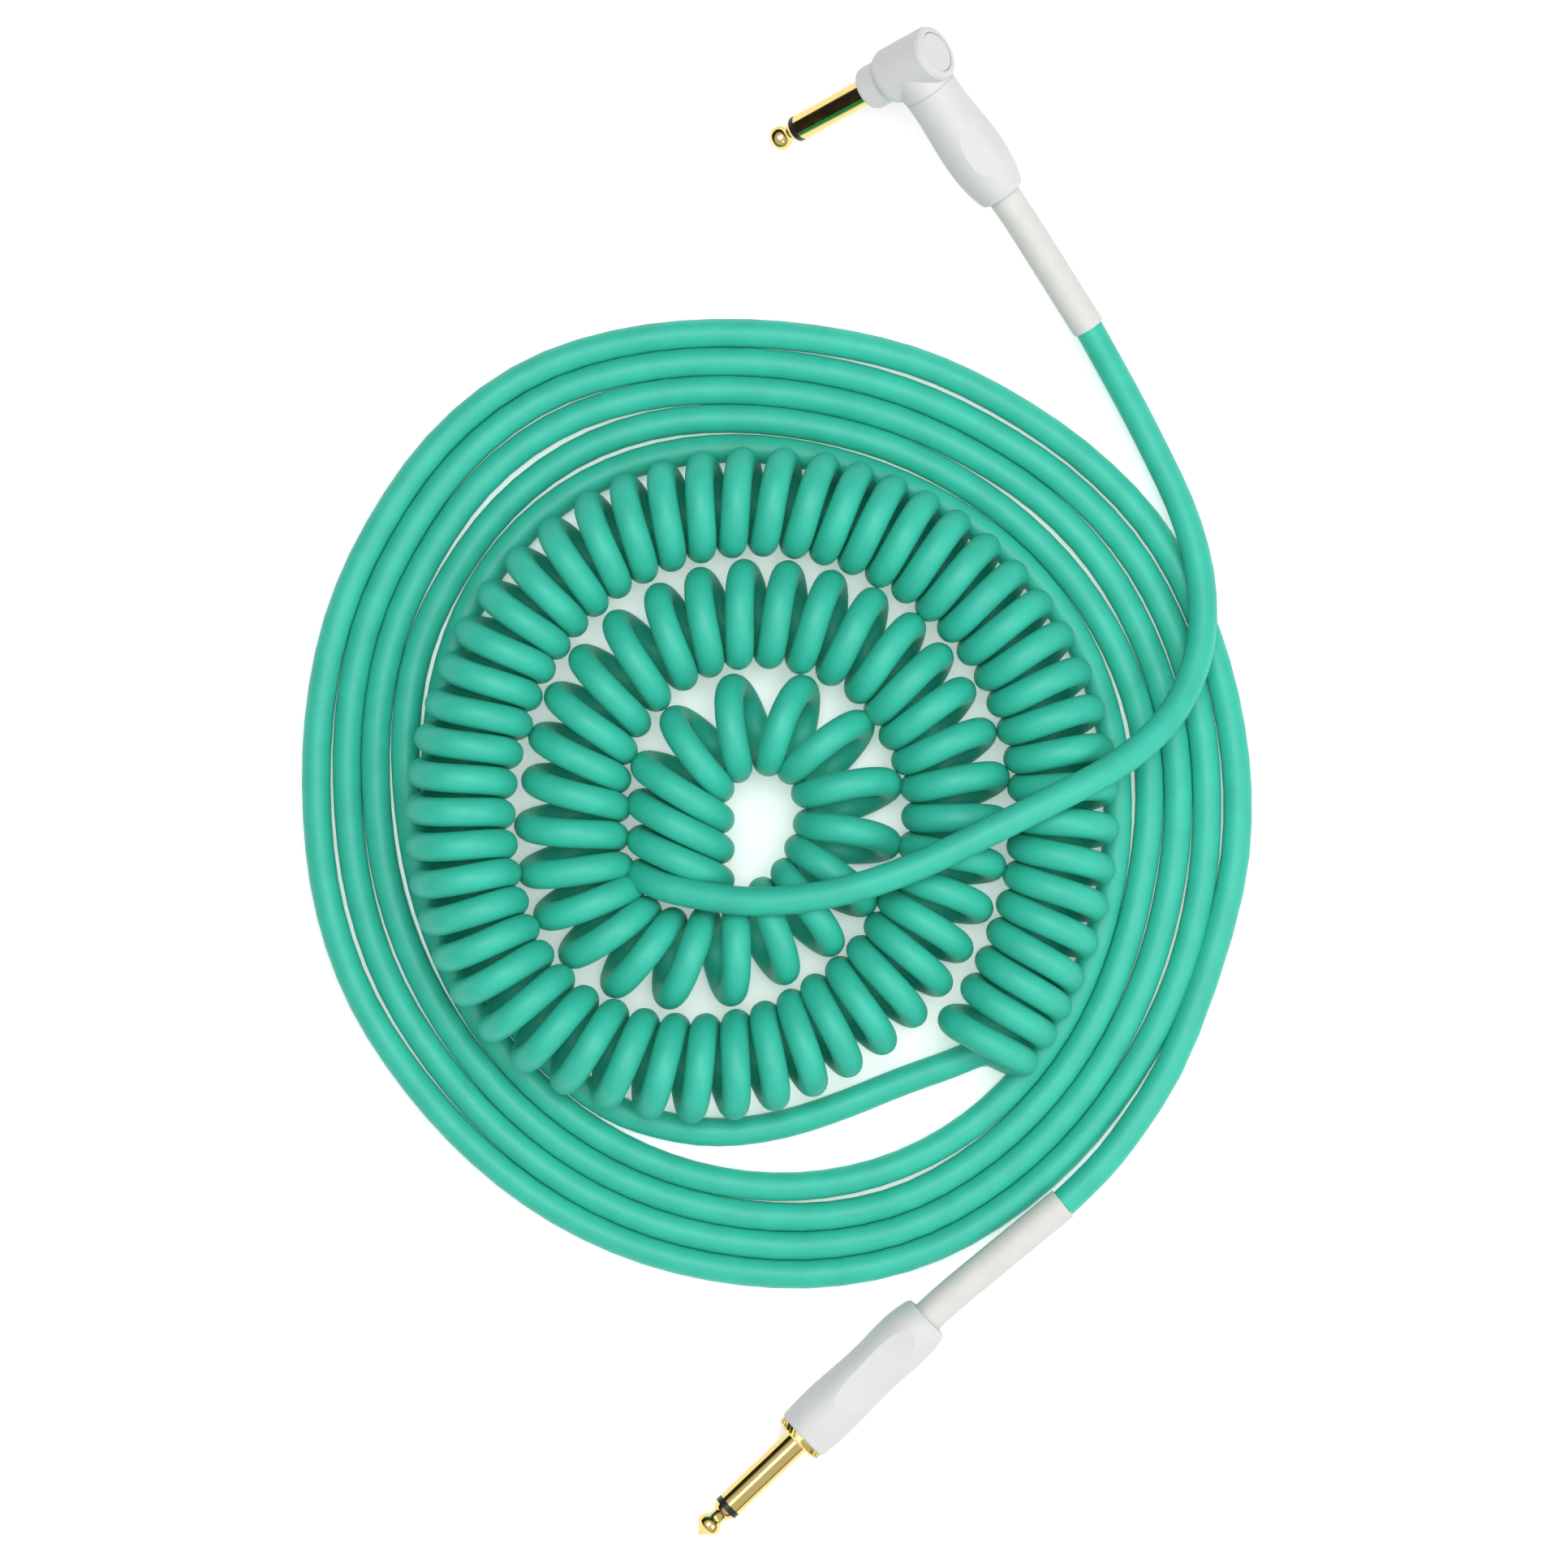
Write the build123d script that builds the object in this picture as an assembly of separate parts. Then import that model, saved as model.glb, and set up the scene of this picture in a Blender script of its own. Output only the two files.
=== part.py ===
"""Half-coiled instrument lead: a 6.8 mm cable between a straight and a right-angle 6.35 mm phone plug.

Millimetres, +Z up. The lead lies loosely coiled on a surface at z = 0. The origin is the bottom centre of
the box round the two plugs, and +Y runs from the straight plug towards the right-angle plug.
"""

import math
import os

from build123d import *

# ---- Cable ----
CORD_R = 3.4
FLOOR_Z = CORD_R  # height of the centre of a strand that lies on the surface

# Flat coil: turns side by side on the surface, numbered by the angle travelled clockwise from the left.
COIL_CENTRE = (-28.6, -3.8)
COIL_RADIUS = 82.4  # at angle 0
COIL_PITCH = 7.1  # growth of the radius in one turn
# The turns are a little out of round: lobes, height, angle of a crest
COIL_WAVES = ((1, 2.9, -10), (2, 3.4, 68), (3, 1.5, 39), (4, 0.8, -34))
COIL_START, COIL_END = -60, 1640
COIL_STEP = 12
COIL_EDGE = 1.6  # how far the rounded edge of the outer strands steps in above their middle
COIL_EDGE_Z = 4.6

# Curly section: a tight helix whose axis winds outwards in an Archimedean spiral.
CURLY_R = 12.7
CURLY_AXIS_Z = 13.3
CURLY_CENTRE = (-38.8, -5.5)
CURLY_RADIUS = 13.14  # of the spiral at angle 0
CURLY_PITCH = 25.8
CURLY_START, CURLY_END = 21, 945
CURLY_STEP = 21
CURLY_INNER_END = (Vector(-51.9, -25.0, CURLY_AXIS_Z), Vector(-52.0, -14.8, CURLY_AXIS_Z))
# Where the loops press on each other, they are pushed off the spiral: angle, spread, distance outwards
CURLY_PUSHES = (
    (137, 42, 2.4), (210, 42, -1.6), (316, 52, 5.6), (378, 40, -1.8), (488, 62, 1.9),
    (580, 48, -2.2), (671, 62, 5.0), (737, 40, -1.6), (824, 72, 1.9), (918, 40, -1.2),
)
CURLY_LIFT = 6.6  # where the outer loop climbs over the innermost flat strand
CURLY_LIFT_ANGLE, CURLY_LIFT_SPREAD = 702, 86

# Routes of the stretches that aren't coiled, after the sleeve's own direction has led them out.
LEAD_ROUTE = [
    Vector(60.4, 80.2, 5.4),
    Vector(67.6, 64.8, 7.6),
    Vector(71.8, 48.2, 10.2),
    Vector(71.0, 31.0, 13.0),
    Vector(63.6, 15.8, 18.2),
    Vector(50.6, 5.0, 24.4),
    Vector(35.0, -2.8, 29.4),
    Vector(18.2, -11.2, 31.0),
    Vector(1.2, -19.4, 30.8),
    Vector(-15.8, -24.8, 29.8),
    Vector(-32.6, -26.8, 27.4),
    Vector(-48.6, -24.6, 23.6),
]
LINK_ROUTE = [
    Vector(20.5, -61.8, 3.8),
    Vector(12.6, -65.4, 3.5),
    Vector(0.3, -69.6, FLOOR_Z),
    Vector(-13.4, -75.4, FLOOR_Z),
    Vector(-28.6, -80.4, FLOOR_Z),
    Vector(-44.0, -82.2, FLOOR_Z),
    Vector(-57.6, -80.0, FLOOR_Z),
]
TAIL_ROUTE = [
    Vector(66.0, -64.0, 4.6),
    Vector(53.6, -82.4, 7.0),
]

# ---- Plugs: distances along the shaft start at the tip ----
SHAFT_R = 6.35 / 2
TIP_R = 3.0  # of the tip's rear face
RING_Z, RING_END = 9.0, 10.5
RING_R = SHAFT_R - 0.05
SHOULDER_Z = 32.4
SHANK_R = 3.0  # of the shaft's rear part, inside the collar or the head
ROD_R, ROD_SLEEVE_R = 1.2, 1.9
ROD_STUB = 1.2  # length of the rod behind the insulating washer
FIT_GAP = 0.02  # between turned parts pressed together
WASHER_R, WASHER_THICK = 3.6, 0.8  # the insulating washer behind the shaft

# ---- Barrels: distances along a barrel start at its front face ----
BORE_R = 5.3
THREAD_R = 5.25
THREAD_LENGTH = 7.6
REAR_WALL = 2.5
REAR_HOLE_R = 4.6
FACET_R, FACET_AT = 70.0, 0.59  # the thumb facet's hollow, and its place as a part of the barrel's length
LINER_R, LINER_WALL = 5.0, 0.35
LINER_START = 9.3
LUG_THICK, LUG_WIDTH = 0.6, 2.2
LUG_STRIP = 4.0  # from the barrel's axis to the lug's strip
CORE_R, PIGTAIL_R, DIELECTRIC_R = 0.45, 0.6, 1.5
DIELECTRIC_LENGTH = 2.5
JACKET_START = 20.0
CLAMP_START, CLAMP_END, CLAMP_R = 20.5, 24.5, 4.1
SLEEVE_R = 3.95
SLEEVE_INSIDE = 5.0  # length of the strain-relief sleeve hidden in the barrel

# Straight plug, lying on the surface
STRAIGHT_TIP = Vector(-47.8, -176.78, 7.1)
STRAIGHT_AZIMUTH = 43.5
STRAIGHT_BARREL_Z = 34.2
STRAIGHT_BARREL_LENGTH = 40.6
STRAIGHT_BARREL_OUTLINE = ((6.7, 0.01), (7.05, 0.27), (6.6, 0.58), (6.9, 0.85), (6.15, 0.975))
STRAIGHT_FACET_FLOOR = 5.8  # from the barrel's axis to the bottom of the hollow
FLANGE_R = 6.15
KNURL_COUNT = 32
KNURL_SLANT = 35
SHANK_PAST_BUSH = 1.0
TIP_LUG_R = 2.9
STRAIGHT_SLEEVE_BEND = 6.0  # past the barrel's rear
STRAIGHT_SLEEVE_END = Vector(38.6, -98.3, 7.6)

# Right-angle plug, propped on its tip and on the cable
ANGLE_TIP = Vector(-30.78, 153.3, 0.48)
ANGLE_AZIMUTH = 24.3
ANGLE_TILT = 38.0
HEAD_AXIS_Z = 46.3  # where the barrel's axis meets the shaft's
NECK_R, NECK_END = 5.25, 38.6
HEAD_R, HEAD_END = 6.8, 54.1
HEAD_ARM_R = 6.7  # of the stub that carries the barrel
HEAD_CAVITY_R = 4.2
HEAD_SHAFT_END = 41.5
HEAD_CAVITY_START = 41.0
CAP_R, CAP_THICK = 4.8, 2.2
CAP_GAP = 0.14
TIP_LINK_R, TIP_LINK_REACH = 2.6, 22.0
BUSH_SEAT = 2.4  # how deep the threaded bush sits in the head
ANGLE_BARREL_AZIMUTH = -53.5
ANGLE_BARREL_START = 6.95
ANGLE_BARREL_LENGTH = 30.4
ANGLE_BARREL_OUTLINE = ((6.6, 0.01), (6.85, 0.3), (7.35, 0.6), (7.1, 0.76), (5.8, 0.97))
ANGLE_FACET_FLOOR = 6.7
ANGLE_SLEEVE_BEND = 6.0
ANGLE_SLEEVE_END = Vector(44.4, 109.0, 9.7)


# ---- Curves ----
def coil_point(angle, outwards=0.0, z=FLOOR_Z):
    """A point of the flat coil, or of a line beside it; the waves make its turns a little out of round."""
    waves = sum(height * math.cos(math.radians(n * (angle - crest))) for n, height, crest in COIL_WAVES)
    radius = COIL_RADIUS + COIL_PITCH * angle / 360 + waves + outwards
    a = math.radians(angle)
    return Vector(COIL_CENTRE[0] - radius * math.cos(a), COIL_CENTRE[1] + radius * math.sin(a), z)


def hump(angle, crest, spread, height):
    """A smooth rise that falls to nothing this spread before and after its crest."""
    away = min(1.0, abs(angle - crest) / spread)
    return height * math.cos(away * math.pi / 2) ** 2


def curly_point(angle):
    """A point of the curly section's axis."""
    radius = CURLY_RADIUS + CURLY_PITCH * angle / 360
    radius += sum(hump(angle, *push) for push in CURLY_PUSHES)
    a = math.radians(angle)
    lift = hump(angle, CURLY_LIFT_ANGLE, CURLY_LIFT_SPREAD, CURLY_LIFT)
    return Vector(
        CURLY_CENTRE[0] - radius * math.cos(a), CURLY_CENTRE[1] + radius * math.sin(a), CURLY_AXIS_Z + lift
    )


def bend_radii(points, share=0.45):
    """Each corner's radius: the arc takes this share of the shorter run beside the corner."""
    radii = []
    for before, corner, after in zip(points, points[1:], points[2:]):
        half_turn = math.radians((corner - before).get_angle(after - corner)) / 2
        shorter = min((corner - before).length, (after - corner).length)
        radii.append(share * shorter / math.tan(half_turn))
    return radii


# ---- Shapes ----
def turned(*outline):
    """A solid turned about Z from a closed outline of (radius, z) corners."""
    return revolve(Plane.XZ * make_face(Polyline(*outline, close=True)), Axis.Z)


def ring(outer, inner, start, end):
    """A tube section about Z."""
    return turned((inner, start), (outer, start), (outer, end), (inner, end))


def round_along(path, radius):
    return sweep(Plane(origin=path @ 0, z_dir=path % 0) * Circle(radius), path=path)


def hollow_along(path, outer, inner):
    start = Plane(origin=path @ 0, z_dir=path % 0)
    return sweep(start * (Circle(outer) - Circle(inner)), path=path)


def wire_solid(points, radius, bend):
    return round_along(FilletPolyline(*points, radius=bend), radius)


def tube(name, points, radius):
    """A round tube along straight runs joined by tangent arcs."""
    radii = bend_radii(points)
    path = FilletPolyline(*points, radius=radii)
    solid = round_along(path, radius)
    ratio = solid.volume / (math.pi * radius**2 * path.length)
    print(f"{name}: length {path.length:.0f}, volume ratio {ratio:.3f}, radii", [round(r) for r in radii])
    return solid


# ---- Pieces of a plug, about the shaft's axis ----
def tip_contact(rod_end):
    """The turned tip, with the centre rod that carries the signal to the rear of the plug."""
    outline = Polyline((0, 0), (2.7, 2.7)) + Spline(
        (2.7, 2.7), (2.92, 3.7), (2.55, 4.8), (1.84, 5.8), (1.84, 6.6), (2.35, 7.8), (TIP_R, RING_Z),
        tangents=((1, 1), (0.4, 1)),
    )
    outline += Polyline((TIP_R, RING_Z), (ROD_R, RING_Z), (ROD_R, rod_end), (0, rod_end), (0, 0))
    return revolve(Plane.XZ * make_face(outline), Axis.Z)


def tip_insulator(tube_end):
    """The black ring behind the tip, moulded in one with the tube round the centre rod."""
    bore = ROD_R + FIT_GAP
    return turned(
        (bore, RING_Z), (RING_R, RING_Z), (RING_R, RING_END), (ROD_SLEEVE_R, RING_END),
        (ROD_SLEEVE_R, tube_end), (bore, tube_end),
    )


def shaft(end):
    """The plug's gold sleeve contact, stepped down to a shank behind the shoulder."""
    bore = ROD_SLEEVE_R + FIT_GAP
    return turned(
        (bore, RING_END), (SHAFT_R, RING_END), (SHAFT_R, SHOULDER_Z), (SHANK_R, SHOULDER_Z),
        (SHANK_R, end), (bore, end),
    )


# ---- Pieces of a barrel, about the barrel's axis ----
def barrel(length, outline, facet_floor):
    """The screw-off shell: a bore, a rear wall with the cable's hole, and a thumb facet in its top."""
    rear_r = outline[-1][0]
    skin = Spline(*[(r, part * length) for r, part in outline])
    profile = Polyline((BORE_R, 0), (outline[0][0] - 0.3, 0), (outline[0][0], outline[0][1] * length)) + skin
    profile += Polyline(
        (rear_r, outline[-1][1] * length), (rear_r - 0.35, length - 0.2), (rear_r - 0.8, length),
        (REAR_HOLE_R, length), (REAR_HOLE_R, length - REAR_WALL), (BORE_R, length - REAR_WALL), (BORE_R, 0),
    )
    shell = revolve(Plane.XZ * make_face(profile), Axis.Z)
    scoop = Pos(facet_floor + FACET_R, 0, FACET_AT * length) * Rot(90, 0, 0) * Cylinder(FACET_R, 20)
    return shell - scoop


def liner(length):
    """The insulating tube inside the barrel."""
    return ring(LINER_R, LINER_R - LINER_WALL, LINER_START, length - REAR_WALL - 0.4)


def ground_lug(inner_r):
    """The earth lug: a washer behind the thread, a strip, and a crimped clamp round the cable's jacket."""
    washer = ring(5.0, inner_r, THREAD_LENGTH, THREAD_LENGTH + LUG_THICK)
    strip_start = THREAD_LENGTH + LUG_THICK
    strip_length = CLAMP_START + 1 - strip_start
    strip = Pos(-LUG_STRIP, 0, strip_start + strip_length / 2) * Box(0.4, LUG_WIDTH, strip_length)
    foot = Pos(-LUG_STRIP - 0.3, 0, strip_start - LUG_THICK / 2) * Box(1.0, LUG_WIDTH, LUG_THICK)
    clamp = ring(CLAMP_R + 0.1, CORD_R + FIT_GAP, CLAMP_START, CLAMP_END)
    slit = Pos(CORD_R + 0.4, 0, (CLAMP_START + CLAMP_END) / 2) * Box(2, 1.4, CLAMP_END - CLAMP_START + 1)
    return washer + strip + foot + (clamp - slit)


def dielectric():
    """The insulation round the core, bared in front of the jacket."""
    return Pos(0, 0, JACKET_START - DIELECTRIC_LENGTH / 2) * Cylinder(DIELECTRIC_R, DIELECTRIC_LENGTH)


def core(lug_offset, solder_z):
    """The stranded core, from the dielectric to the tip's solder point."""
    start = JACKET_START - DIELECTRIC_LENGTH
    points = [
        Vector(0, 0, start), Vector(0, 0, start - 1.2), Vector(lug_offset, 0, start - 3.2),
        Vector(lug_offset, 0, solder_z),
    ]
    return wire_solid(points, CORE_R, 0.8)


def shield():
    """The braid, twisted into a pigtail and soldered to the ground lug."""
    points = [
        Vector(-2.6, 0, JACKET_START), Vector(-2.6, 0, JACKET_START - 1.2),
        Vector(-3.2, 0, JACKET_START - 3.2), Vector(-3.2, 0, JACKET_START - 6.5),
    ]
    return wire_solid(points, PIGTAIL_R, 1.2)


def sleeve_path(frame, start, length, bend, end):
    """The cable's line out of a barrel: along its axis, then bent a little towards the sleeve's end."""
    points = [frame.from_local_coords(Vector(0, 0, z)) for z in (start, length + bend)] + [end]
    rear = frame.from_local_coords(Vector(0, 0, length))
    radius = bend_radii([rear, points[1], end], 0.9)[0]
    return FilletPolyline(*points, radius=radius)


# ---- The straight plug ----
def straight_plug():
    azimuth = math.radians(STRAIGHT_AZIMUTH)
    along = Vector(math.cos(azimuth), math.sin(azimuth), 0)
    plug = Plane(origin=STRAIGHT_TIP, x_dir=(0, 0, 1), z_dir=along)
    casing = Plane(origin=STRAIGHT_TIP + along * STRAIGHT_BARREL_Z, x_dir=(0, 0, 1), z_dir=along)
    length = STRAIGHT_BARREL_LENGTH

    shaft_end = STRAIGHT_BARREL_Z + THREAD_LENGTH + SHANK_PAST_BUSH
    washer_end = shaft_end + WASHER_THICK
    rod_end = washer_end + ROD_STUB

    flange = ring(FLANGE_R, SHANK_R + FIT_GAP, SHOULDER_Z, STRAIGHT_BARREL_Z)
    front_rim = flange.edges().group_by(Axis.Z)[0].sort_by(SortBy.RADIUS)[-1]
    flange = chamfer(front_rim, 0.5)
    groove = Rot(KNURL_SLANT, 0, 0) * Box(0.6, 0.45, 6)
    for turn in range(KNURL_COUNT):
        flange -= Rot(0, 0, turn * 360 / KNURL_COUNT) * Pos(FLANGE_R + 0.1, 0, SHOULDER_Z + 0.9) * groove
    thread_end = STRAIGHT_BARREL_Z + THREAD_LENGTH
    threaded = ring(THREAD_R, SHANK_R + FIT_GAP, STRAIGHT_BARREL_Z, thread_end)
    rear_insulator = ring(WASHER_R, ROD_R + FIT_GAP, shaft_end, washer_end)
    lug_start = washer_end - STRAIGHT_BARREL_Z
    tip_lug = ring(TIP_LUG_R, ROD_R + FIT_GAP, lug_start, lug_start + LUG_THICK)
    tip_lug += Pos(2.6, 0, lug_start + 2.6) * Box(0.5, LUG_WIDTH, 5.2)

    jacket_path = sleeve_path(casing, JACKET_START, length, STRAIGHT_SLEEVE_BEND, STRAIGHT_SLEEVE_END)
    sleeve_line = sleeve_path(
        casing, length - SLEEVE_INSIDE, length, STRAIGHT_SLEEVE_BEND, STRAIGHT_SLEEVE_END
    )
    return {
        "straight_tip_contact": plug * tip_contact(rod_end),
        "straight_tip_insulator": plug * tip_insulator(shaft_end),
        "straight_sleeve_contact": plug * shaft(shaft_end),
        "straight_knurled_collar": plug * (flange + threaded),
        "straight_rear_insulator": plug * rear_insulator,
        "straight_tip_lug": casing * tip_lug,
        "straight_ground_lug": casing * ground_lug(SHANK_R + 0.1),
        "straight_core_wire": casing * core(1.85, lug_start + 1.5),
        "straight_dielectric": casing * dielectric(),
        "straight_shield_pigtail": casing * shield(),
        "straight_cable_end": round_along(jacket_path, CORD_R),
        "straight_liner": casing * liner(length),
        "straight_barrel": casing * barrel(length, STRAIGHT_BARREL_OUTLINE, STRAIGHT_FACET_FLOOR),
        "straight_strain_relief": hollow_along(sleeve_line, SLEEVE_R, CORD_R + FIT_GAP),
    }, sleeve_line


# ---- The right-angle plug ----
def angle_directions():
    """Unit vectors along the shaft, from tip to head, and along the barrel, at right angles to it."""
    azimuth, tilt = math.radians(ANGLE_AZIMUTH), math.radians(ANGLE_TILT)
    along = Vector(math.cos(azimuth) * math.cos(tilt), math.sin(azimuth) * math.cos(tilt), math.sin(tilt))
    barrel_azimuth = math.radians(ANGLE_BARREL_AZIMUTH)
    level = Vector(math.cos(barrel_azimuth), math.sin(barrel_azimuth), 0)
    drop = level.dot(along) / math.sin(tilt)
    return along, (level - Vector(0, 0, drop)).normalized()


def angle_plug():
    along, down = angle_directions()
    up = down.cross(Vector(0, 0, 1).cross(down)).normalized()
    corner = ANGLE_TIP + along * HEAD_AXIS_Z
    plug = Plane(origin=ANGLE_TIP, x_dir=down, z_dir=along)
    socket = Plane(origin=corner, x_dir=up, z_dir=down)
    casing = Plane(origin=corner + down * ANGLE_BARREL_START, x_dir=up, z_dir=down)
    length = ANGLE_BARREL_LENGTH

    washer_end = HEAD_SHAFT_END + WASHER_THICK
    rod_end = washer_end + ROD_STUB
    shank_hole = HEAD_CAVITY_START - SHOULDER_Z
    cavity = HEAD_END - HEAD_CAVITY_START

    neck = turned(
        (0, SHOULDER_Z), (NECK_R - 0.9, SHOULDER_Z), (NECK_R - 0.25, SHOULDER_Z + 0.3),
        (NECK_R, SHOULDER_Z + 1.0), (NECK_R, NECK_END + 1), (0, NECK_END + 1),
    )
    body = turned(
        (0, NECK_END), (HEAD_R - 1.5, NECK_END), (HEAD_R - 0.45, NECK_END + 0.5), (HEAD_R, NECK_END + 1.7),
        (HEAD_R, HEAD_END - 1.2), (HEAD_R - 0.4, HEAD_END - 0.35), (HEAD_R - 1.2, HEAD_END), (0, HEAD_END),
    )
    arm = Pos(0, 0, ANGLE_BARREL_START / 2) * Cylinder(HEAD_ARM_R, ANGLE_BARREL_START)
    head = plug * (neck + body) + socket * arm
    head -= plug * (Pos(0, 0, SHOULDER_Z + shank_hole / 2) * Cylinder(SHANK_R + FIT_GAP, shank_hole))
    head -= plug * (Pos(0, 0, HEAD_CAVITY_START + cavity / 2) * Cylinder(HEAD_CAVITY_R, cavity))
    head -= plug * (Pos(0, 0, HEAD_END - CAP_THICK / 2) * Cylinder(CAP_R + CAP_GAP, CAP_THICK))
    head -= socket * (Pos(0, 0, ANGLE_BARREL_START / 2) * Cylinder(HEAD_CAVITY_R, ANGLE_BARREL_START))
    seat_middle = ANGLE_BARREL_START - BUSH_SEAT / 2
    head -= socket * (Pos(0, 0, seat_middle) * Cylinder(THREAD_R + FIT_GAP, BUSH_SEAT))
    cap = turned(
        (0, HEAD_END - CAP_THICK), (CAP_R, HEAD_END - CAP_THICK), (CAP_R, HEAD_END - 0.25),
        (CAP_R - 0.25, HEAD_END - 0.05), (0, HEAD_END - 0.05),
    )
    threaded = ring(THREAD_R, HEAD_CAVITY_R, -BUSH_SEAT, THREAD_LENGTH)
    rear_insulator = ring(WASHER_R, ROD_R + FIT_GAP, HEAD_SHAFT_END, washer_end)
    link_end = washer_end + LUG_THICK
    link_middle = (TIP_LINK_REACH + 2) / 2
    tip_link = ring(TIP_LINK_R, ROD_R + FIT_GAP, washer_end, link_end)
    tip_link += Pos(link_middle, 0, link_end - LUG_THICK / 2) * Box(TIP_LINK_REACH - 2, LUG_WIDTH, LUG_THICK)
    link_offset = HEAD_AXIS_Z - link_end - CORE_R

    jacket_path = sleeve_path(casing, JACKET_START, length, ANGLE_SLEEVE_BEND, ANGLE_SLEEVE_END)
    sleeve_line = sleeve_path(casing, length - SLEEVE_INSIDE, length, ANGLE_SLEEVE_BEND, ANGLE_SLEEVE_END)

    # The link lies towards the tip, so the wiring is turned to meet it.
    tipwards = Plane(origin=casing.origin, x_dir=-along, z_dir=down)
    return {
        "angle_tip_contact": plug * tip_contact(rod_end),
        "angle_tip_insulator": plug * tip_insulator(HEAD_SHAFT_END),
        "angle_sleeve_contact": plug * shaft(HEAD_SHAFT_END),
        "angle_head_housing": head,
        "angle_rear_cap": plug * cap,
        "angle_threaded_bush": casing * threaded,
        "angle_rear_insulator": plug * rear_insulator,
        "angle_tip_link": plug * tip_link,
        "angle_ground_lug": tipwards * ground_lug(HEAD_CAVITY_R),
        "angle_core_wire": tipwards * core(link_offset, TIP_LINK_REACH - ANGLE_BARREL_START - 2.5),
        "angle_dielectric": casing * dielectric(),
        "angle_shield_pigtail": tipwards * shield(),
        "angle_cable_end": round_along(jacket_path, CORD_R),
        "angle_liner": casing * liner(length),
        "angle_barrel": casing * barrel(length, ANGLE_BARREL_OUTLINE, ANGLE_FACET_FLOOR),
        "angle_strain_relief": hollow_along(sleeve_line, SLEEVE_R, CORD_R + FIT_GAP),
    }, sleeve_line


# ---- The cable between the plugs ----
def coil_slab(inset, start_z, end_z):
    """A flat ring that follows the outermost and the innermost strand, with a step where each one ends."""
    reach = CORD_R - inset
    outer = [
        coil_point(a, reach, start_z) for a in range(COIL_END - 360, COIL_END + 1, COIL_STEP)
    ]
    inner = [
        coil_point(a, -reach, start_z) for a in range(COIL_START + 360, COIL_START - 1, -COIL_STEP)
    ]
    rim = Spline(*outer) + Line(outer[-1], outer[0])
    hole = Spline(*inner) + Line(inner[-1], inner[0])
    return extrude(make_face(rim) - make_face(hole), end_z - start_z, dir=(0, 0, 1))


def flat_coil():
    return coil_slab(0, 0, COIL_EDGE_Z) + coil_slab(COIL_EDGE, COIL_EDGE_Z, 2 * CORD_R)


def cable(straight_line, angle_line):
    """The cable's stretches, in order from the right-angle plug."""
    lead_out = [angle_line @ 1, angle_line @ 1 + (angle_line % 1) * 12]
    tail_out = [straight_line @ 1 + (straight_line % 1) * 10, straight_line @ 1]
    curly = list(CURLY_INNER_END) + [curly_point(a) for a in range(CURLY_START, CURLY_END + 1, CURLY_STEP)]
    return {
        "cord_lead": tube("cord_lead", lead_out + LEAD_ROUTE, CORD_R),
        "cord_curly": tube("cord_curly", curly, CURLY_R),
        "cord_link": tube("cord_link", LINK_ROUTE + [coil_point(COIL_START)], CORD_R),
        "cord_coil": flat_coil(),
        "cord_tail": tube("cord_tail", [coil_point(COIL_END)] + TAIL_ROUTE + tail_out, CORD_R),
    }


def main():
    os.makedirs("parts", exist_ok=True)
    straight, straight_line = straight_plug()
    angle, angle_line = angle_plug()
    pieces = {**straight, **angle, **cable(straight_line, angle_line)}
    for name, piece in pieces.items():
        export_step(piece, f"parts/{name}.step")
    box = Compound(children=[*straight.values(), *angle.values()]).bounding_box()
    print("plugs' box:", box.min, box.max)


main()
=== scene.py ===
"""Looks of a half-coiled instrument lead: its camera, cable, materials, floor and light."""

import math

import bpy
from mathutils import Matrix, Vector


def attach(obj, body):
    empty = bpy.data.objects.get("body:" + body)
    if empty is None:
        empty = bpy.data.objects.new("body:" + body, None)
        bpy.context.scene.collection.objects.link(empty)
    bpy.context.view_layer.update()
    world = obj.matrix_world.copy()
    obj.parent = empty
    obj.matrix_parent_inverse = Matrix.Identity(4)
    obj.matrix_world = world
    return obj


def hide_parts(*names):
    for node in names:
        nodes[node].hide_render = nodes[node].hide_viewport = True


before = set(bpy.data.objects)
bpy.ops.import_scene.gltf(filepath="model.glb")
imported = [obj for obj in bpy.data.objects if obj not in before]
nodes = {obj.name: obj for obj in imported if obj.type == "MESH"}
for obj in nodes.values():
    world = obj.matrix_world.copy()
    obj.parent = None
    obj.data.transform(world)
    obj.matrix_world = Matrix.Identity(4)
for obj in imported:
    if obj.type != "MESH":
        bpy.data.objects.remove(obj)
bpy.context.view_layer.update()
scene = bpy.context.scene
MM = 0.001

# ---- Camera: straight above the lead ----
CAMERA_PLACE = (-0.02745, 0.00098, 1.3)
VIEW_WIDTH = 0.3733  # of the floor that the picture shows
SENSOR = 36.0
CLIP_START, CLIP_END = 0.05, 20


def add_camera():
    """Looks straight down at the lead."""
    data = bpy.data.cameras.new("camera")
    data.sensor_width = SENSOR
    data.lens = SENSOR * CAMERA_PLACE[2] / VIEW_WIDTH
    data.clip_start = CLIP_START
    data.clip_end = CLIP_END
    camera = bpy.data.objects.new("camera", data)
    camera.location = CAMERA_PLACE
    scene.collection.objects.link(camera)
    scene.camera = camera


add_camera()

# ---- The cable, in millimetres from the right-angle plug to the straight one ----
CORD_R = 3.4
STRANDS_Z = CORD_R

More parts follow.
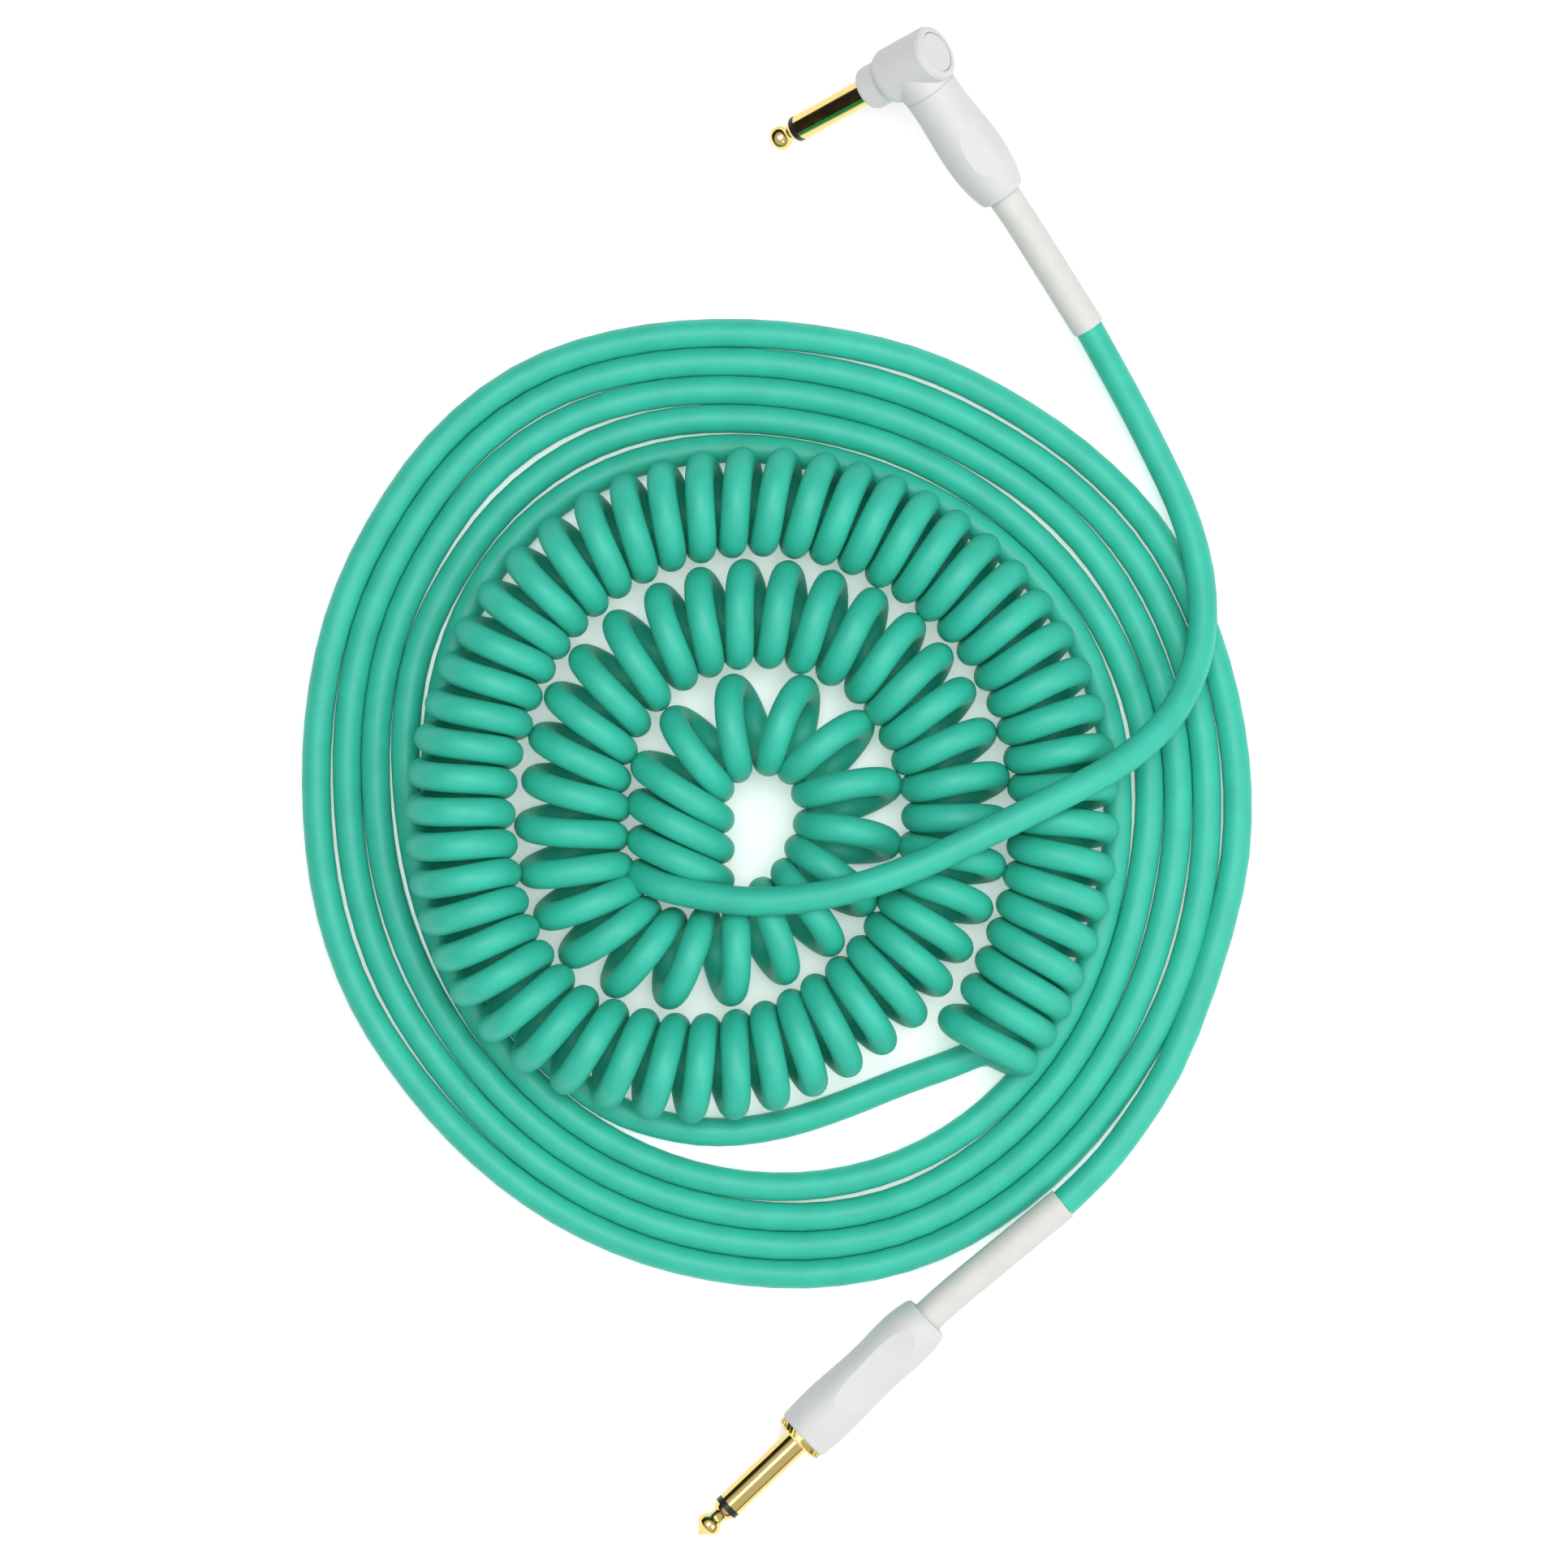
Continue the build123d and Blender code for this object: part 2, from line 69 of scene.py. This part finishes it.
# The strand from the right-angle plug's sleeve to the curly section
LEAD_ROUTE = [
    (44.4, 109.0, 9.7),
    (52.0, 96.0, 7.4),
    (60.4, 80.2, 5.4),
    (67.6, 64.8, 7.6),
    (71.8, 48.2, 10.2),
    (71.0, 31.0, 13.0),
    (63.6, 15.8, 18.2),
    (50.6, 5.0, 24.4),
    (35.0, -2.8, 29.4),
    (18.2, -11.2, 31.0),
    (1.2, -19.4, 30.8),
    (-15.8, -24.8, 29.8),
    (-32.6, -26.8, 27.4),
    (-44.4, -25.6, 25.0),
]

# The curly section: a left-handed helix round an axis that winds outwards in a spiral. Each turn passes over
# the top from its inner end to its outer end, and back underneath to the next turn's inner end.
AXIS_Z = 13.3
HELIX_R = 9.7
TURN_POINTS = 12
REACH = HELIX_R / math.cos(math.pi / TURN_POINTS)  # the smooth line runs inside its control points
SPIRAL_CENTRE = Vector((-38.8, -5.5))
SPIRAL_RADIUS = 13.14  # of the axis at angle 0
SPIRAL_PITCH = 25.8
FIRST_TURN, LAST_TURN = -2.70, 90.62
LIFT_ANGLE, LIFT_SPREAD, LIFT = 702, 86, 6.6  # where the section rides up over the turns below it

# The first turns stand in a straight row: inner end and outer end
STRAIGHT_TURNS = {
    -4: ((-42.1, -36.5), (-61.6, -28.5)),
    -3: ((-42.1, -29.2), (-61.6, -20.0)),
    -2: ((-42.1, -21.8), (-61.6, -12.1)),
    -1: ((-42.1, -14.5), (-61.6, -3.5)),
    0: ((-42.1, -7.4), (-60.7, 5.4)),
}
# The others: turn, angle of its inner end, angle of its outer end, how far its neighbours push it outwards
TURNS = (
    (1, 56, 56, -0.8), (2, 93, 88.5, 0.1), (3, 124, 118.5, 1.7), (4, 143.5, 145, 2.6),
    (5, 165.5, 170, 1.7), (6, 190.5, 192, 0), (7, 210.5, 215.5, -1.4), (9, 252, 253, -1.7),
    (11, 286, 290, 2.5), (12, 300, 305, 5), (13, 312, 319, 5.5), (15, 334.5, 343.5, 2.9),
    (17, 362, 369, -1.5), (20, 402, 405, -0.9), (22, 429, 430.5, 0), (24, 451, 452, 1),
    (28, 495.5, 493.5, 1.9), (30, 514.5, 512, 0.8), (32, 532.5, 532.5, 0.8), (36, 570, 571.5, -2.1),
    (40, 606, 606, -1.3), (44, 638, 638.5, 2.2), (48, 669, 670.5, 5.3), (50, 684, 686.5, 4.4),
    (54, 712, 714, 0.5), (58, 742, 740, -1.7), (60, 756.5, 754, -0.9), (64, 782.5, 784.5, 0.9),
    (70, 822.5, 824.5, 2), (74, 847.5, 847.5, 1.8), (78, 872, 871.5, 1.5), (84, 907, 909, -0.8),
    (87, 924.5, 926.5, -1.2), (89, 936.5, 936, -0.6), (90, 944, 941, -0.4), (92, 958, 952, 0),
)

LINK_ROUTE = [
    (20.5, -61.8, 3.8),
    (12.6, -65.4, 3.5),
    (0.3, -69.6, STRANDS_Z),
    (-13.4, -75.4, STRANDS_Z),
    (-28.6, -80.4, STRANDS_Z),
    (-44.0, -82.2, STRANDS_Z),
    (-57.6, -80.0, STRANDS_Z),
]

# The flat coil: turns side by side on the floor, by the angle travelled clockwise from the left. The first
# turn is a spiral a little out of round, and each later one lies against the turn inside it.
COIL_CENTRE = (-28.6, -3.8)
COIL_RADIUS = 82.4
COIL_PITCH = 7.1
# How the first turn is out of round: lobes, height, angle of a crest
COIL_WAVES = ((1, 2.9, -10), (2, 3.4, 68), (3, 1.5, 39), (4, 0.8, -34))
COIL_TOUCH = 6.82  # between neighbouring strands that touch
# Where a strand bulges away from the one inside it: angle, spread, width of the gap
COIL_GAPS = (
    (300, 40, 0.28), (380, 18, 1.3), (424, 32, 1.0), (467, 20, 0.6), (531, 26, 1.1), (615, 22, 1.2),
    (708, 32, 1.0), (772, 30, 1.4), (857, 24, 1.2), (917, 14, 0.5), (1058, 20, 0.8), (1137, 14, 0.6),
    (1230, 18, 0.7), (1280, 20, 0.8), (1425, 40, 1.0), (1552, 26, 1.0), (1582, 24, 0.7), (1622, 16, 0.7),
)
COIL_START, COIL_END = -60, 1640
COIL_STEP = 12

TAIL_ROUTE = [
    (66.0, -64.0, 4.6),
    (53.6, -82.4, 7.0),
    (45.9, -91.6, 7.6),
    (38.6, -98.3, 7.6),
]


def hump(angle, crest, spread, height):
    """A smooth rise that falls to nothing this spread before and after its crest."""
    away = min(1.0, abs(angle - crest) / spread)
    return height * math.cos(away * math.pi / 2) ** 2


def coil_radius(angle):
    """The flat coil's radius, by the angle travelled clockwise from the left."""
    if angle < COIL_START + 360:
        waves = sum(h * math.cos(math.radians(n * (angle - crest))) for n, h, crest in COIL_WAVES)
        return COIL_RADIUS + COIL_PITCH * angle / 360 + waves
    return coil_radius(angle - 360) + COIL_TOUCH + sum(hump(angle, *gap) for gap in COIL_GAPS)


def coil_point(angle):
    """A point of the flat coil."""
    radius = coil_radius(angle)
    a = math.radians(angle)
    return (COIL_CENTRE[0] - radius * math.cos(a), COIL_CENTRE[1] + radius * math.sin(a), STRANDS_Z)


def table_row(turn):
    """A turn's inner angle, outer angle and push, between the rows of TURNS."""
    for low, high in zip(TURNS, TURNS[1:]):
        if turn <= high[0]:
            share = (turn - low[0]) / (high[0] - low[0])
            return [x + (y - x) * share for x, y in zip(low[1:], high[1:])]
    return list(TURNS[-1][1:])


def spiral_point(angle, outwards):
    """A point beside the spiral axis, by the angle travelled clockwise from the left."""
    radius = SPIRAL_RADIUS + SPIRAL_PITCH * angle / 360 + outwards
    a = math.radians(angle)
    return SPIRAL_CENTRE + radius * Vector((-math.cos(a), math.sin(a)))


def turn_ends(turn):
    """Inner end and outer end of a whole turn."""
    if turn in STRAIGHT_TURNS:
        return [Vector(end) for end in STRAIGHT_TURNS[turn]]
    inner, outer, push = table_row(turn)
    return [spiral_point(inner, push - REACH), spiral_point(outer, push + REACH)]


def helix_points():
    """Control points of the curly section."""
    ends = {turn: turn_ends(turn) for turn in range(min(STRAIGHT_TURNS), TURNS[-1][0] + 1)}

    def between(side, turn):
        """A place on the line through one side's ends."""
        whole = math.floor(turn)
        return ends[whole][side].lerp(ends[whole + 1][side], turn - whole)

    points = []
    for i in range(round((LAST_TURN - FIRST_TURN) * TURN_POINTS) + 1):
        turn = FIRST_TURN + i / TURN_POINTS
        phase = 2 * math.pi * turn
        outer_share = (1 - math.cos(phase)) / 2
        place = between(0, turn).lerp(between(1, turn - 0.5), outer_share)
        lift = 0
        if turn > TURNS[0][0]:
            inner, outer, _ = table_row(turn)
            lift = hump((inner + outer) / 2, LIFT_ANGLE, LIFT_SPREAD, LIFT)
        points.append((place.x, place.y, AXIS_Z + lift + REACH * math.sin(phase)))
    return points


def cord_curve(name, points, radius):
    """A round cord along one smooth line through a route in millimetres."""
    data = bpy.data.curves.new(name, "CURVE")
    data.dimensions = "3D"
    data.resolution_u = 3
    data.bevel_depth = 1  # times each point's radius, so the box of the piece takes in its thickness
    data.bevel_resolution = 10
    data.use_fill_caps = True
    spline = data.splines.new("NURBS")
    spline.points.add(len(points) - 1)
    for point, place in zip(spline.points, points):
        point.co = (*(c * MM for c in place), 1)
        point.radius = radius * MM
    spline.order_u = 3
    spline.use_endpoint_u = True
    piece = bpy.data.objects.new(name, data)
    scene.collection.objects.link(piece)
    return piece


coil = [coil_point(a) for a in range(COIL_START, COIL_END + 1, COIL_STEP)]
cable = cord_curve("cable", LEAD_ROUTE + helix_points() + LINK_ROUTE + coil + TAIL_ROUTE, CORD_R)
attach(cable, "root")
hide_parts("cord_lead", "cord_curly", "cord_link", "cord_coil", "cord_tail")


# ---- Materials ----
GRAIN_DEPTH = 0.0002
NOISE_DETAIL = 3.0
MOTTLE_LOW, MOTTLE_HIGH = 0.35, 0.65  # the part of the pattern that runs from darkest to lightest
HANDLING_LOW, HANDLING_HIGH = 0.3, 0.7  # the part that runs from shiniest to dullest


def linear(level):
    """One 0-255 sRGB level as linear light."""
    c = level / 255
    return c / 12.92 if c <= 0.04045 else ((c + 0.055) / 1.055) ** 2.4


def srgb(r, g, b):
    """A colour given as 0-255 levels, as linear light."""
    return (linear(r), linear(g), linear(b), 1)


def noise_field(tree, scale):
    """A cloudy pattern fixed to the object, from 0 to 1."""
    place = tree.nodes.new("ShaderNodeTexCoord")
    noise = tree.nodes.new("ShaderNodeTexNoise")
    noise.inputs["Scale"].default_value = scale
    noise.inputs["Detail"].default_value = NOISE_DETAIL
    tree.links.new(place.outputs["Object"], noise.inputs["Vector"])
    return noise.outputs["Fac"]


def add_grain(tree, shader, strength, scale):
    """A fine unevenness of the surface."""
    bump = tree.nodes.new("ShaderNodeBump")
    bump.inputs["Strength"].default_value = strength
    bump.inputs["Distance"].default_value = GRAIN_DEPTH
    tree.links.new(noise_field(tree, scale), bump.inputs["Height"])
    tree.links.new(bump.outputs["Normal"], shader.inputs["Normal"])


def add_mottle(tree, shader, color, spread, scale):
    """Patches slightly darker and lighter than the colour."""
    ramp = tree.nodes.new("ShaderNodeValToRGB")
    stops = ((MOTTLE_LOW, 1 - spread), (MOTTLE_HIGH, 1 + spread))
    for element, (place, share) in zip(ramp.color_ramp.elements, stops):
        element.position = place
        element.color = (*(c * share for c in color[:3]), 1)
    tree.links.new(noise_field(tree, scale), ramp.inputs["Fac"])
    tree.links.new(ramp.outputs["Color"], shader.inputs["Base Color"])


def add_handling(tree, shader, roughness, spread, scale):
    """Patches that handling has made duller and shinier."""
    level = tree.nodes.new("ShaderNodeMapRange")
    level.inputs["From Min"].default_value = HANDLING_LOW
    level.inputs["From Max"].default_value = HANDLING_HIGH
    level.inputs["To Min"].default_value = roughness - spread
    level.inputs["To Max"].default_value = roughness + spread
    tree.links.new(noise_field(tree, scale), level.inputs["Value"])
    tree.links.new(level.outputs["Result"], shader.inputs["Roughness"])


def material(name, color, roughness, metallic=0.0, specular=0.5, grain=(0.05, 900), mottle=(0.03, 90),
             handling=(0.03, 140)):
    """A moulded or plated finish; grain, mottle and handling are each an amount and a scale, or None."""
    made = bpy.data.materials.new(name)
    made.use_nodes = True
    tree = made.node_tree
    shader = tree.nodes["Principled BSDF"]
    shader.inputs["Base Color"].default_value = color
    shader.inputs["Roughness"].default_value = roughness
    shader.inputs["Metallic"].default_value = metallic
    shader.inputs["Specular IOR Level"].default_value = specular
    if grain:
        add_grain(tree, shader, *grain)
    if mottle:
        add_mottle(tree, shader, color, *mottle)
    if handling:
        add_handling(tree, shader, roughness, *handling)
    return made


def dress(made, *names):
    """Gives these CAD nodes one material."""
    for name in names:
        slots = nodes[name].data.materials
        slots.clear()
        slots.append(made)


jacket = material("jacket", srgb(52, 186, 161), 0.48, specular=0.4, grain=(0.08, 900), mottle=(0.05, 120))
shell = material("shell_white", srgb(210, 211, 210), 0.55, grain=(0.15, 2500), mottle=(0.015, 200))
sleeve = material("sleeve_white", srgb(211, 210, 206), 0.6, grain=(0.2, 1200), mottle=(0.02, 200))
gold = material("gold", srgb(220, 198, 127), 0.12, metallic=1.0, grain=(0.015, 1500), handling=(0.05, 250))
black = material("insulator_black", srgb(24, 24, 24), 0.35, mottle=(0.1, 300))
tinned = material("tinned", srgb(190, 190, 186), 0.35, metallic=1.0, handling=(0.08, 300))
copper = material("copper", srgb(200, 120, 80), 0.35, metallic=1.0, grain=(0.4, 1600), mottle=(0.1, 500))
fibre = material("fibre", srgb(110, 66, 42), 0.8, grain=(0.4, 1200), mottle=(0.12, 600))
plastic = material("clear_plastic", srgb(225, 228, 222), 0.3)

cable.data.materials.append(jacket)
dress(shell, "straight_barrel", "angle_barrel", "angle_head_housing", "angle_rear_cap")
dress(sleeve, "straight_strain_relief", "angle_strain_relief")
dress(jacket, "straight_cable_end", "angle_cable_end")
dress(gold, "straight_tip_contact", "straight_sleeve_contact", "straight_knurled_collar",
      "angle_tip_contact", "angle_sleeve_contact")
dress(black, "straight_tip_insulator", "angle_tip_insulator")
dress(tinned, "straight_tip_lug", "straight_ground_lug", "angle_tip_link", "angle_ground_lug",
      "angle_threaded_bush")
dress(copper, "straight_core_wire", "angle_core_wire", "straight_shield_pigtail", "angle_shield_pigtail")
dress(fibre, "straight_rear_insulator", "angle_rear_insulator")
dress(plastic, "straight_dielectric", "angle_dielectric", "straight_liner", "angle_liner")

# ---- Floor and light ----
FLOOR_HALF = 3.0
FLOOR_DROP = 0.0002  # below the lead, so that their faces don't meet
FLOOR_GLOW = 0.3
BRIGHT_SIDE = (0.18, -0.19, 0.965)  # the direction in the middle of the bright part of the room
DARK_UP_TO, BRIGHT_FROM = 0.24, 0.62  # how far a direction goes along BRIGHT_SIDE
ROOM_DARK, ROOM_BRIGHT = 0.03, 0.95
ROOM_STRENGTH = 0.75


def add_floor():
    """A plain pale floor that glows a little."""
    data = bpy.data.meshes.new("floor")
    h = FLOOR_HALF
    data.from_pydata([(-h, -h, 0), (h, -h, 0), (h, h, 0), (-h, h, 0)], [], [(0, 1, 2, 3)])
    white = material("floor_white", srgb(250, 250, 250), 0.9, specular=0.2, grain=None, mottle=None)
    shader = white.node_tree.nodes["Principled BSDF"]
    shader.inputs["Emission Color"].default_value = (1, 1, 1, 1)
    shader.inputs["Emission Strength"].default_value = FLOOR_GLOW
    data.materials.append(white)
    floor = bpy.data.objects.new("floor", data)
    floor.location.z = -FLOOR_DROP
    scene.collection.objects.link(floor)


def add_room():
    """A studio that is bright overhead and dark towards the horizon, which the gold reflects."""
    world = bpy.data.worlds.new("world")
    world.use_nodes = True
    tree = world.node_tree
    direction = tree.nodes.new("ShaderNodeTexCoord")
    height = tree.nodes.new("ShaderNodeVectorMath")
    height.operation = "DOT_PRODUCT"
    height.inputs[1].default_value = BRIGHT_SIDE
    ramp = tree.nodes.new("ShaderNodeValToRGB")
    ramp.color_ramp.interpolation = "EASE"
    stops = ((DARK_UP_TO, ROOM_DARK), (BRIGHT_FROM, ROOM_BRIGHT))
    for element, (place, level) in zip(ramp.color_ramp.elements, stops):
        element.position = place
        element.color = (level, level, level, 1)
    tree.links.new(direction.outputs["Generated"], height.inputs[0])
    tree.links.new(height.outputs["Value"], ramp.inputs["Fac"])
    tree.links.new(ramp.outputs["Color"], tree.nodes["Background"].inputs["Color"])
    tree.nodes["Background"].inputs["Strength"].default_value = ROOM_STRENGTH
    scene.world = world


def area_light(name, place, size, power):
    """A round soft light at a place, turned towards the origin."""
    data = bpy.data.lights.new(name, "AREA")
    data.shape = "DISK"
    data.size = size
    data.energy = power
    light = bpy.data.objects.new(name, data)
    light.location = place
    light.rotation_mode = "QUATERNION"
    light.rotation_quaternion = Vector(place).to_track_quat("Z", "Y")
    scene.collection.objects.link(light)


add_floor()
add_room()
scene.view_settings.view_transform = "Standard"
area_light("overhead", place=(0.1, 0.25, 1.9), size=1.2, power=20)
area_light("side", place=(1.1, -0.5, 1.2), size=0.8, power=6)
